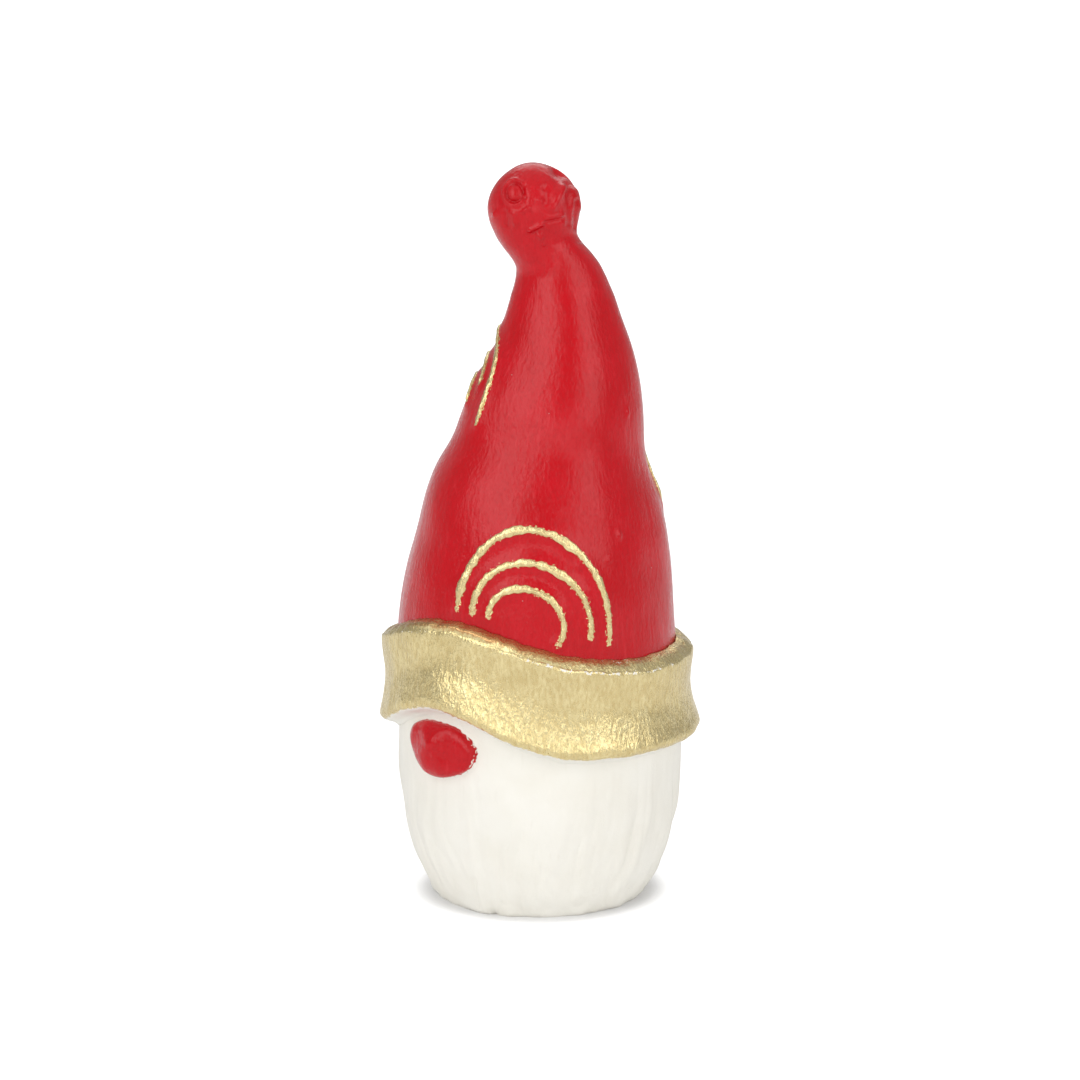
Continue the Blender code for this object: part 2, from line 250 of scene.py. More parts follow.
def along(stations, height, column=1):
    """A station table's column at heights in mm, on a smooth curve through the stations."""
    table = np.array(stations, dtype=float)
    z = np.clip(np.asarray(height, dtype=float), table[0, 0], table[-1, 0])
    last = len(table) - 2
    i = np.clip(np.searchsorted(table[:, 0], z, side="right") - 1, 0, last)
    low, high = table[i], table[i + 1]
    before, after = table[np.maximum(i - 1, 0)], table[np.minimum(i + 2, last + 1)]
    span = high[..., 0] - low[..., 0]
    t = (z - low[..., 0]) / span
    slope_low = (high[..., column] - before[..., column]) / (high[..., 0] - before[..., 0])
    slope_high = (after[..., column] - low[..., column]) / (after[..., 0] - low[..., 0])
    return (
        (2 * t**3 - 3 * t**2 + 1) * low[..., column]
        + (t**3 - 2 * t**2 + t) * span * slope_low
        + (3 * t**2 - 2 * t**3) * high[..., column]
        + (t**3 - t**2) * span * slope_high
    )


def polar(azimuth, radius, height, lean=0.0):
    """Points in mm round an axis that stands lean away from the origin, towards LEAN_AZIMUTH."""
    azimuth, radius, height, lean = np.broadcast_arrays(azimuth, radius, height, lean)
    return np.stack(
        (
            lean * math.sin(LEAN_AZIMUTH) + radius * np.sin(azimuth),
            -lean * math.cos(LEAN_AZIMUTH) - radius * np.cos(azimuth),
            height,
        ),
        axis=-1,
    )


def direction(azimuth, elevation):
    """The way out at an azimuth and an elevation in degrees."""
    a, e = math.radians(azimuth), math.radians(elevation)
    return Vector((math.sin(a) * math.cos(e), -math.cos(a) * math.cos(e), math.sin(e)))


def lumps(points, size, seed, stretch=1.0):
    """Smooth noise, about -1 to 1, at points in mm. Its lumps are size mm wide and stretch times as tall."""
    scaled = points.reshape(-1, 3) / size
    scaled[:, 2] /= stretch
    scaled += 17.3 * seed
    values = [noise.noise(point) for point in scaled.tolist()]
    return np.array(values).reshape(points.shape[:-1])


def wrapped(turn):
    """An angle brought into -pi to pi."""
    return (turn + math.pi) % (2 * math.pi) - math.pi


def swell(azimuth, middle, spread):
    """1 at an azimuth in degrees, falling smoothly to 0 on both sides of it."""
    return np.exp(-0.5 * (wrapped(azimuth - math.radians(middle)) / math.radians(spread)) ** 2)


def ramp(value, low, high):
    """0 below low and 1 above high, with a smooth rise between them."""
    t = np.clip((np.asarray(value, dtype=float) - low) / (high - low), 0, 1)
    return t * t * (3 - 2 * t)


def line_distance(across, up, start, end):
    """How far points on a face are from a line between two places on it."""
    run = np.array(end, dtype=float) - np.array(start, dtype=float)
    share = ((across - start[0]) * run[0] + (up - start[1]) * run[1]) / (run @ run)
    share = np.clip(share, 0, 1)
    return np.hypot(across - start[0] - share * run[0], up - start[1] - share * run[1])


def hat_radius(height):
    """The hat's radius, with the bends of its profile softened."""
    return sum(along(HAT_PROFILE, height + step, 2) for step in PROFILE_STEPS) / len(PROFILE_STEPS)


def hat_lean(height):
    return sum(along(HAT_PROFILE, height + step, 1) for step in PROFILE_STEPS) / len(PROFILE_STEPS)


def turns(count):
    return np.linspace(0, 2 * math.pi, count, endpoint=False)


def skin(name, rings, node, slot, finish, ring_of_rings=False, **attributes):
    """A piece skinned over rings of points in mm, in place of a CAD node."""
    count, around, _ = rings.shape
    index = np.arange(count * around).reshape(count, around)
    low = index if ring_of_rings else index[:-1]
    high = np.roll(index, -1, axis=0) if ring_of_rings else index[1:]
    quads = np.stack((low, np.roll(low, -1, axis=1), np.roll(high, -1, axis=1), high), axis=-1)
    faces = quads.reshape(-1, 4).tolist()
    if not ring_of_rings:
        faces.append(index[0][::-1].tolist())
        faces.append(index[-1].tolist())
    mesh = bpy.data.meshes.new(name)
    mesh.from_pydata((rings.reshape(-1, 3) * MM).tolist(), [], faces)
    mesh.shade_smooth()
    for key, values in attributes.items():
        layer = mesh.attributes.new(key, "FLOAT", "POINT")
        layer.data.foreach_set("value", np.broadcast_to(values, (count, around)).astype(np.float32).ravel())
    mesh.materials.append(finish)
    piece = bpy.data.objects.new(name, mesh)
    bpy.context.scene.collection.objects.link(piece)
    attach(piece, "root")
    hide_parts(node)
    return piece


# ---------------------------------------------------------------- materials


def put(tree, kind, inputs=None, **settings):
    """A shader node, with its settings made and its inputs given as values or as other nodes' sockets."""
    made = tree.nodes.new("ShaderNode" + kind)
    for key, value in settings.items():
        setattr(made, key, value)
    for key, value in (inputs or {}).items():
        if isinstance(value, bpy.types.NodeSocket):
            tree.links.new(value, made.inputs[key])
        else:
            made.inputs[key].default_value = value
    return made


def calc(tree, operation, *values):
    made = put(tree, "Math", dict(enumerate(values)), operation=operation)
    return made.outputs[0]


def level(tree, value, low, high, to_low=0.0, to_high=1.0):
    """A value brought from one range to another, and kept inside it."""
    inputs = {"Value": value, "From Min": low, "From Max": high, "To Min": to_low, "To Max": to_high}
    return put(tree, "MapRange", inputs).outputs[0]


def blend(tree, factor, colour_a, colour_b):
    made = put(tree, "Mix", {0: factor}, data_type="RGBA")
    for key, value in ((6, colour_a), (7, colour_b)):
        if isinstance(value, bpy.types.NodeSocket):
            tree.links.new(value, made.inputs[key])
        else:
            made.inputs[key].default_value = (*value, 1.0)
    return made.outputs[2]


def grain(tree, size, detail=3.0, stretch=1.0, rough=0.55):
    """Noise on the object, with features size mm wide and stretch times as tall."""
    place = put(tree, "TexCoord").outputs["Object"]
    scale = 1.0 / (size * MM)
    mapped = put(tree, "Mapping", {"Vector": place, "Scale": (scale, scale, scale / stretch)})
    inputs = {"Vector": mapped.outputs[0], "Scale": 1.0, "Detail": detail, "Roughness": rough}
    return put(tree, "TexNoise", inputs).outputs[0]


def specks(tree, spacing, radius):
    """1 on round specks of a radius, one to each cell of a size, both in mm."""
    place = put(tree, "TexCoord").outputs["Object"]
    scale = 1.0 / (spacing * MM)
    mapped = put(tree, "Mapping", {"Vector": place, "Scale": (scale, scale, scale)})
    cells = put(tree, "TexVoronoi", {"Vector": mapped.outputs[0], "Scale": 1.0})
    return level(tree, cells.outputs["Distance"], 0.6 * radius / spacing, radius / spacing, 1.0, 0.0)


def attribute(tree, name):
    return put(tree, "Attribute", attribute_name=name).outputs["Fac"]


def bump(tree, height, depth, strength=1.0, under=None):
    """A bump of a depth in mm, on top of another bump."""
    inputs = {"Height": height, "Distance": depth * MM, "Strength": strength}
    if under is not None:
        inputs["Normal"] = under
    return put(tree, "Bump", inputs).outputs[0]


def new_material(name):
    made = bpy.data.materials.new(name)
    made.use_nodes = True
    return made, made.node_tree, made.node_tree.nodes["Principled BSDF"]


def join(tree, shader, **sockets):
    for key, socket in sockets.items():
        tree.links.new(socket, shader.inputs[key.replace("_", " ")])


def clay_look(tree):
    """White clay: colour, roughness and bump sockets."""
    cloud = grain(tree, 9.0, detail=4.0)
    streak = grain(tree, 0.9, detail=3.0, stretch=7.0)
    fine = grain(tree, 0.35, detail=2.0)
    colour = blend(tree, level(tree, cloud, 0.35, 0.65), (0.84, 0.815, 0.735), (0.87, 0.85, 0.78))
    colour = blend(tree, level(tree, streak, 0.6, 0.75, 0.0, 0.3), colour, (0.78, 0.755, 0.665))
    # Pits are dented in the bump and darkened in colour: the darkening is painted shade inside them
    shaded_pits = calc(tree, "MULTIPLY", specks(tree, 3.4, 0.13), level(tree, cloud, 0.54, 0.60))
    colour = blend(tree, calc(tree, "MULTIPLY", shaded_pits, 0.3), colour, (0.60, 0.56, 0.47))
    rough = level(tree, fine, 0.3, 0.7, 0.46, 0.62)
    grooves = calc(tree, "MULTIPLY_ADD", streak, 0.7, fine)
    height = calc(tree, "MULTIPLY_ADD", shaded_pits, -2.0, grooves)
    return colour, rough, bump(tree, height, 0.035)


def white_clay():
    made, tree, shader = new_material("white_clay_satin")
    colour, rough, normal = clay_look(tree)
    join(tree, shader, Base_Color=colour, Roughness=rough, Normal=normal)
    shader.inputs["Specular IOR Level"].default_value = 0.35
    return made


def foot_clay():
    """Bare, unglazed clay for the disc under the gnome."""
    made, tree, shader = new_material("bare_clay")
    cloud = grain(tree, 6.0, detail=4.0)
    tooth = grain(tree, 0.28, detail=4.0)
    colour = blend(tree, level(tree, cloud, 0.35, 0.65), (0.66, 0.60, 0.49), (0.75, 0.70, 0.60))
    colour = blend(tree, calc(tree, "MULTIPLY", specks(tree, 1.3, 0.12), 0.5), colour, (0.42, 0.34, 0.25))
    join(
        tree,
        shader,
        Base_Color=colour,
        Roughness=level(tree, tooth, 0.3, 0.7, 0.72, 0.9),
        Normal=bump(tree, tooth, 0.06),
    )
    return made


def red_look(tree):
    """Waxy red paint: colour, roughness and bump sockets."""
    cloud = grain(tree, 7.0, detail=4.0)
    stroke = grain(tree, 0.8, detail=4.0, stretch=6.0)
    fine = grain(tree, 0.50, detail=4.0, stretch=1.6, rough=0.6)
    colour = blend(tree, level(tree, cloud, 0.3, 0.7), (0.485, 0.002, 0.006), (0.545, 0.004, 0.011))
    colour = blend(tree, level(tree, stroke, 0.56, 0.72, 0.0, 0.3), colour, (0.66, 0.03, 0.04))
    colour = blend(tree, level(tree, fine, 0.50, 0.66, 0.0, 0.45), colour, (0.40, 0.002, 0.006))
    # Small raised specks: the bump is real, and their light pink colour is a painted highlight on them
    raised_specks_painted_glint = calc(tree, "MULTIPLY", specks(tree, 4.3, 0.14), level(tree, cloud, 0.52, 0.58))
    colour = blend(tree, calc(tree, "MULTIPLY", raised_specks_painted_glint, 0.6), colour, (0.75, 0.30, 0.30))
    rough = level(tree, fine, 0.38, 0.62, 0.09, 0.24)
    height = calc(tree, "ADD", calc(tree, "MULTIPLY_ADD", stroke, 1.2, fine), raised_specks_painted_glint)
    return colour, rough, bump(tree, height, 0.08)


def gold_look(tree):
    """Gold paint with the soft tooth that a dabbing brush leaves: colour, roughness and bump sockets."""
    cloud = grain(tree, 5.0, detail=3.0)
    tooth = grain(tree, 0.50, detail=3.0, stretch=2.4, rough=0.55)
    sparkle_bump_and_painted_glint = grain(tree, 0.22, detail=2.0, stretch=2.0, rough=0.6)
    colour = blend(tree, level(tree, tooth, 0.36, 0.64), (0.69, 0.55, 0.26), (0.83, 0.70, 0.37))
    # The fine sparkle grain lightens the colour to pale gold as painted glints, and also roughens the bump
    colour = blend(tree, level(tree, sparkle_bump_and_painted_glint, 0.60, 0.78, 0.0, 0.4), colour, (1.0, 0.93, 0.64))
    colour = blend(tree, level(tree, cloud, 0.42, 0.62, 0.0, 0.3), colour, (0.58, 0.45, 0.20))
    rough = level(tree, tooth, 0.3, 0.7, 0.32, 0.17)
    height = calc(tree, "MULTIPLY_ADD", sparkle_bump_and_painted_glint, 0.25, tooth)
    return colour, rough, bump(tree, height, 0.18)


def layered(tree, shader, mask, top, top_metal, base, base_metal):
    """Joins one look over another where a mask is 1."""
    colour = blend(tree, mask, base[0], top[0])
    rough = put(tree, "Mix", {0: mask, 2: base[1], 3: top[1]}).outputs[0]
    normal = put(tree, "Mix", {0: mask, 4: base[2], 5: top[2]}, data_type="VECTOR").outputs[1]
    metal = level(tree, mask, 0.0, 1.0, base_metal, top_metal)
    join(tree, shader, Base_Color=colour, Roughness=rough, Normal=normal, Metallic=metal)


def red_gloss(shader):
    shader.inputs["Specular IOR Level"].default_value = 0.28


def red_paint():
    made, tree, shader = new_material("red_paint_waxy")
    colour, rough, normal = red_look(tree)
    join(tree, shader, Base_Color=colour, Roughness=rough, Normal=normal)
    red_gloss(shader)
    return made


def red_paint_with_gold_flecks():
    """The hat's red, with flecks of gold where the brush ran past an arch."""
    made, tree, shader = new_material("red_paint_gold_flecks")
    away = attribute(tree, "coil_mm")
    ragged = grain(tree, 0.55, detail=3.0, rough=0.7)
    reach = calc(tree, "MULTIPLY_ADD", ragged, 2.0, -0.56)
    mask = level(tree, calc(tree, "SUBTRACT", reach, away), -0.03, 0.03)
    layered(tree, shader, mask, gold_look(tree), 0.85, red_look(tree), 0.0)
    red_gloss(shader)
    return made


def gold_paint():
    made, tree, shader = new_material("gold_paint_brushed")
    colour, rough, normal = gold_look(tree)
    join(tree, shader, Base_Color=colour, Roughness=rough, Normal=normal)
    shader.inputs["Metallic"].default_value = 0.85
    return made


def chipped_gold():
    """The cuff's gold: ragged at the lip, chipped on the ridge, brown where it runs onto the hat."""
    made, tree, shader = new_material("gold_paint_chipped")
    ragged = grain(tree, 0.6, detail=3.0, stretch=0.8, rough=0.65)
    lower = calc(tree, "MULTIPLY_ADD", ragged, 1.2, calc(tree, "SUBTRACT", attribute(tree, "lip_mm"), 0.6))
    chip_noise = grain(tree, 0.9, detail=4.0, stretch=0.7, rough=0.65)
    chip = calc(tree, "SUBTRACT", chip_noise, calc(tree, "SUBTRACT", 0.74, attribute(tree, "wear")))
    mask = calc(tree, "MULTIPLY", level(tree, lower, -0.03, 0.03), level(tree, chip, -0.01, 0.01, 1.0, 0.0))
    gold = gold_look(tree)
    seam = calc(tree, "MULTIPLY_ADD", ragged, 1.6, calc(tree, "SUBTRACT", attribute(tree, "seam"), 1.15))
    gold_colour = blend(tree, level(tree, seam, 0.0, 0.35, 0.0, 0.7), gold[0], (0.50, 0.21, 0.07))
    layered(tree, shader, mask, (gold_colour, gold[1], gold[2]), 0.85, clay_look(tree), 0.0)
    return made


def nose_paint():
    """Red over clay, with the jagged edge that a brush leaves."""
    made, tree, shader = new_material("red_paint_on_nose")
    jag = grain(tree, 0.60, detail=2.0, rough=0.5)
    depth = attribute(tree, "jag_mm")
    edge = calc(tree, "MULTIPLY_ADD", calc(tree, "SUBTRACT", jag, 0.5), depth, attribute(tree, "rim_mm"))
    layered(tree, shader, level(tree, edge, -0.03, 0.03), red_look(tree), 0.0, clay_look(tree), 0.0)
    red_gloss(shader)
    return made


# ---------------------------------------------------------------- pieces


def beard(finish):
    """Pot with wavy carved strands, nicks and an uneven foot."""
    heights = np.concatenate(([0, 0.12, 0.3, 0.5, 0.75], np.arange(1.05, 35.9, 0.33), [SPLIT_HEIGHT]))
    azimuth, height = turns(BEARD_AROUND)[None, :], heights[:, None]
    radius = along(BEARD_PROFILE, height)
    place = polar(azimuth, radius, height)
    fade = np.clip((STRAND_TOP + 4 - height) / (0.5 * STRAND_TOP), 0, 1)
    drift = 2.2 * lumps(place, 9.0, 1, stretch=1.3)
    drifted = polar(azimuth + drift / radius, radius, height)
    strands = np.abs(lumps(drifted, 4.4, 2, stretch=7.0))
    strands = strands + 0.35 * np.abs(lumps(drifted, 1.9, 18, stretch=8.0))
    depth = fade * (0.8 + 0.5 * lumps(place, 9.0, 19, stretch=2.0))
    relief = depth * (0.95 * strands - 0.26 + 0.05 * np.cos(STRANDS * azimuth + 2 * drift))
    foot = np.clip(1 - height / 5.0, 0, 1)
    relief = relief + foot * 0.45 * lumps(place, 3.2, 20) + 0.14 * lumps(place, 12.0, 3)
    relief = relief + 0.02 * lumps(place, 1.3, 4, stretch=5.0)
    arc = np.degrees(wrapped(azimuth)) * math.radians(BEARD_NICK_RADIUS)
    for start, end, width, dip in BEARD_NICKS:
        away = line_distance(arc, height, start, end)
        relief = relief - dip * np.exp(-((away / width) ** 2))
    outside = polar(azimuth, radius + relief, height)
    outside[0, :, 2] = 0.0
    ledge_radius = DISC_RADIUS + JOINT_GAP
    ledge = DISC_THICKNESS + JOINT_GAP
    inside_profile = (
        (COLLAR_RADIUS, SPLIT_HEIGHT),
        (COLLAR_RADIUS, SPLIT_HEIGHT + COLLAR_HEIGHT),
        (COLLAR_BORE, SPLIT_HEIGHT + COLLAR_HEIGHT),
        (COLLAR_BORE, SPLIT_HEIGHT - WALL),
        (along(BEARD_PROFILE, 26.0) - WALL, 26.0),
        (along(BEARD_PROFILE, 16.0) - WALL, 16.0),
        (along(BEARD_PROFILE, 9.0) - WALL, 9.0),
        (ledge_radius - DISC_LEDGE, ledge + 2.0),
        (ledge_radius - DISC_LEDGE, ledge),
        (ledge_radius, ledge),
        (ledge_radius, 0.15),
        (ledge_radius + 0.15, 0.0),
    )
    inside = [polar(azimuth[0], r, z) for r, z in inside_profile]
    rings = np.concatenate((outside, np.array(inside)))
    return skin("beard_carved", rings, "beard_body", "white_clay", finish, ring_of_rings=True)


def coil_path(motif, arch, steps):
    """Azimuths and heights along an arch, from its left foot to its right one."""
    _, middle, feet, slope, scale, short = motif
    _, half_width, rise, shift, past = arch
    end = math.pi + past - (short if arch != ARCHES[0] else 0.0)
    turn = np.linspace(0, end, steps)
    across = scale * (shift - half_width * np.cos(turn))
    lift = np.sign(np.sin(turn)) * np.abs(np.sin(turn)) ** SQUARENESS
    up = feet + scale * rise * lift + slope * across
    return math.radians(middle) + across / hat_radius(feet), up


def coil_distance(azimuth, height):
    """How far each place on the hat is from the nearest arch, in mm, up to ARCH_REACH."""
    away = np.full(np.broadcast(azimuth, height).shape, ARCH_REACH**2)
    radius = hat_radius(height)
    for motif in MOTIFS:
        for arch in ARCHES:
            path_azimuth, path_height = coil_path(motif, arch, COIL_DISTANCE_STEPS)
            below = height[:, 0] < path_height.max() + ARCH_REACH
            above = height[:, 0] > path_height.min() - ARCH_REACH
            rows = np.where(above & below)[0]
            part = np.s_[rows[0] : rows[-1] + 1]
            for place, up in zip(path_azimuth, path_height):
                gap = (wrapped(azimuth - place) * radius[part]) ** 2 + (height[part] - up) ** 2
                away[part] = np.minimum(away[part], gap)
    return np.sqrt(away)


def hat_relief(azimuth, height, away):
    """What handling adds to the hat's radius, in mm. Away is the distance from the nearest arch."""
    radius = hat_radius(height)
    lean = hat_lean(height)
    place = polar(azimuth, radius, height, lean)
    fade = np.clip((height - CUFF_TOP) / 12, 0, 1)
    girth = np.clip(radius / 20.0, 0.35, 1.0)
    flats = 0.26 * fade * girth * np.sin(5 * azimuth + height / 30)
    relief = flats + girth * (0.24 * lumps(place, 13.0, 5) + 0.13 * lumps(place, 7.0, 21, stretch=1.8))
    relief = relief + 0.10 * girth * lumps(place, 3.6, 6, stretch=1.5)
    relief = relief + 0.015 * lumps(place, 0.9, 7, stretch=4.0)
    for middle, up, width, tall in HAT_DABS:
        across = wrapped(azimuth - math.radians(middle)) * radius / width
        relief = relief + 0.34 * np.exp(-(across**2) - ((height - up) / tall) ** 2)
    return relief + 0.34 * np.exp(-((away / 1.15) ** 2)) + 0.10 * np.exp(-((away / 3.0) ** 2))


def smooth_union(one, other, reach):
    """Two distances run together, with a fillet where the shapes meet."""
    share = np.clip(0.5 + 0.5 * (other - one) / reach, 0, 1)
    return other + (one - other) * share - reach * share * (1 - share)


def tip_distance(points):
    """Roughly how far points are outside the hat's tip and the ball, taken as one filleted shape."""
    z = points[..., 2]
    axis = polar(0.0, 0.0, z, hat_lean(z))
    sideways = np.hypot(points[..., 0] - axis[..., 0], points[..., 1] - axis[..., 1])
    tip = np.maximum(0.9 * (sideways - hat_radius(z)), z - TIP_TOP)
    ball = np.linalg.norm(points - pompom_middle(), axis=-1) - POMPOM_RADIUS + 0.12
    return smooth_union(tip, ball, TIP_FILLET)


def reach_of_tip(start, way, near, far):
    """How far along ways from start the filleted tip's surface is."""
    near = np.full(way.shape[:-1], near)
    far = np.full(way.shape[:-1], far)
    for _ in range(HALVINGS):
        middle = 0.5 * (near + far)
        inside = tip_distance(start + way * middle[..., None]) < 0
        near = np.where(inside, middle, near)
        far = np.where(inside, far, middle)
    return near


def pompom_middle():
    return polar(0.0, 0.0, POMPOM_HEIGHT, POMPOM_LEAN)


def tip_relief(points):
    """A stamped ring, dabs, creases and a fold on the ball's worked face, and lumps all round it."""
    facing = math.radians(BALL_FACE_AZIMUTH)
    right = np.array((math.cos(facing), math.sin(facing), 0.0))
    toward = np.array(direction(BALL_FACE_AZIMUTH, BALL_FACE_RISE))
    upward = np.cross(toward, right)
    out = points - pompom_middle()
    across, up = out @ right, out @ upward
    front = ramp(out @ toward, 0.0, 1.5)
    relief = np.zeros(across.shape)
    from_ring = np.hypot((across + 3.05) / 0.85, (up - 2.05) / 1.05)
    relief = relief - 0.20 * np.exp(-(((from_ring - 1.45) / 0.26) ** 2))
    relief = relief + 0.10 * np.exp(-(((from_ring - 1.95) / 0.30) ** 2))
    disc = np.hypot((across + 3.45) / 0.85, (up - 2.0) / 1.4)
    relief = relief + 0.16 * ramp(1.15 - disc, 0.0, 0.5)
    for start, end, width, height in BALL_MARKS:
        relief = relief + height * np.exp(-((line_distance(across, up, start, end) / width) ** 2))
    relief = relief - 0.45 * np.exp(-((across - 4.4) ** 2 + (up - 6.2) ** 2) / 2.6)
    relief = BALL_MARK_STRENGTH * relief * front
    return relief + 0.20 * lumps(points, 5.5, 8) + 0.05 * lumps(points, 1.8, 9)


def hat(finish):
    """Hollow bent cone, swollen softly along each arch, that runs into the ball at its tip."""
    under_cuff = [SPLIT_HEIGHT + JOINT_GAP, 39.0, 41.0]
    heights = np.concatenate((under_cuff, np.arange(42.0, 104.0, 0.36), np.arange(104.0, 111.01, 0.5)))
    azimuth, height = turns(HAT_AROUND)[None, :], heights[:, None]
    away = coil_distance(azimuth, height)
    radius = hat_radius(height) + hat_relief(azimuth, height, away)
    lean = hat_lean(height)
    tip = heights > TIP_START
    tip_height = height[tip]
    axis = polar(0.0, 0.0, tip_height, lean[tip])
    filleted = reach_of_tip(axis, polar(azimuth, 1.0, 0.0 * tip_height), 0.5, 12.0)
    relief = tip_relief(polar(azimuth, filleted, tip_height, lean[tip]))
    sunk = SEAM_DIP * np.clip(tip_height - SEAM_HEIGHT, 0, None) ** 2
    share = ramp(tip_height, TIP_START, TIP_START + 3.0)
    radius[tip] = (1 - share) * radius[tip] + share * (filleted + relief - sunk)
    outside = polar(azimuth, radius, height, lean)
    inside = []
    for z in (HAT_CAVITY_TOP, 89, 84, 77, 70, 62, 54, 46):
        wall = 2 * WALL if z == HAT_CAVITY_TOP else WALL
        inside.append(polar(azimuth[0], hat_radius(z) - wall, z, hat_lean(z)))
    bore = COLLAR_RADIUS + JOINT_GAP
    inside.append(polar(azimuth[0], bore, SPLIT_HEIGHT + COLLAR_HEIGHT + JOINT_GAP))
    inside.append(polar(azimuth[0], bore, SPLIT_HEIGHT + JOINT_GAP))
    plug = polar(azimuth[0], 0.6, 108.0, hat_lean(108.0))
    rings = np.concatenate((outside, plug[None], np.array(inside)))
    extra = np.full((len(inside) + 1, HAT_AROUND), ARCH_REACH)
    distance = np.concatenate((away, extra))
    return skin("hat_worked", rings, "hat_shell", "red_paint", finish, ring_of_rings=True, coil_mm=distance)


def pompom(finish):
    """Ball that runs into the hat's tip. Below the seam it dips under the hat's own skin."""
    polar_angle = np.linspace(0.02, math.pi - 0.02, POMPOM_RINGS)[::-1, None]
    azimuth = turns(POMPOM_AROUND)[None, :]
    way = polar(azimuth, np.sin(polar_angle), np.cos(polar_angle))
    reach = reach_of_tip(pompom_middle(), way, 0.6 * POMPOM_RADIUS, POMPOM_RADIUS + BURIED + 0.1)
    buried = reach > POMPOM_RADIUS + BURIED
    reach = np.where(buried, POMPOM_RADIUS - 0.5, reach)
    surface = pompom_middle() + way * reach[..., None]
    dip = SEAM_DIP * np.clip(SEAM_HEIGHT - surface[..., 2], 0, 3) ** 2
    relief = np.where(buried, 0.0, tip_relief(surface))
    rings = surface + way * (relief - dip)[..., None]
    return skin("pompom_modelled", rings, "pompom", "red_paint", finish)


def nose(finish):
    """Low dome, its paint smooth on the gnome's right and jagged on its left and below."""
    angle = turns(NOSE_AROUND)[None, :]
    share = np.sin(np.linspace(0.03, 0.5 * math.pi, NOSE_RINGS))[:, None]
    skirt = np.array((1.03, 1.07, 1.12, 1.18))[:, None]
    dome_share = np.concatenate((share, skirt))
    corner = 0.10 * np.exp(-((wrapped(angle - math.radians(148)) / 0.35) ** 2))
    corner = corner - 0.07 * np.exp(-((wrapped(angle - math.radians(215)) / 0.4) ** 2))
    corner = corner + 0.025 * np.sin(3 * angle + 0.7) + 0.012 * np.sin(7 * angle)
    across = dome_share * (1 + corner) * NOSE_HALF_WIDTH * np.cos(angle)
    up = dome_share * (1 + corner) * NOSE_HALF_HEIGHT * np.sin(angle)
    lift = np.sqrt(np.clip(1 - dome_share**2, 0, 1)) ** 0.8
    height = NOSE_HEIGHT + up
    surface = along(BEARD_PROFILE, height)
    azimuth = across / along(BEARD_PROFILE, NOSE_HEIGHT)
    place = polar(azimuth, surface, height)
    ridge = 0.35 * np.exp(-(((across + 0.4 - 0.5 * up) / 1.5) ** 2))
    hollow = -0.55 * np.exp(-(((across - 3.6) / 1.9) ** 2) - ((up - 1.0) / 2.4) ** 2)
    relief = 0.36 * lumps(place, 2.6, 10) + 0.06 * lumps(place, 0.8, 11) + ridge + hollow
    slope = -0.5 * ramp(-across, 1.0, 6.0)
    stands = lift * (NOSE_STANDS_OUT - 0.35 + relief + slope)
    skirt_fall = np.concatenate((np.full(NOSE_RINGS, 0.30), (0.22, 0.12, 0.0, -0.5)))[:, None]
    rings = polar(azimuth, surface + stands + skirt_fall, height)
    back = polar(azimuth[-1] * 0.9, surface[-1] - 2.0, NOSE_HEIGHT + up[-1] * 0.9)
    rings = np.concatenate((rings, back[None]))[::-1]
    reach = np.hypot(NOSE_HALF_WIDTH * np.cos(angle), NOSE_HALF_HEIGHT * np.sin(angle))
    rim = (1.0 - dome_share) * reach
    rim = np.concatenate((rim, np.full((1, angle.shape[1]), -1.0)))[::-1]
    jag = 0.35 + 0.85 * ramp(np.cos(angle - math.radians(-45)), -0.35, 0.5)
    return skin("nose_painted", rings, "nose", "red_paint", finish, rim_mm=rim + 0.05, jag_mm=jag)


def smooth_rows(rows, each):
    """A curve through rows of control values, with a number of steps to each span."""
    out = []
    last = len(rows) - 1
    for i in range(last):
        before, low, high, after = rows[max(i - 1, 0)], rows[i], rows[i + 1], rows[min(i + 2, last)]
        for step in range(each):
            t = step / each
            out.append(
                0.5
                * (
                    2 * low
                    + (high - before) * t
                    + (2 * before - 5 * low + 4 * high - after) * t**2
                    + (3 * low - before - 3 * high + after) * t**3
                )
            )
    out.append(rows[-1])
    return np.array(out)


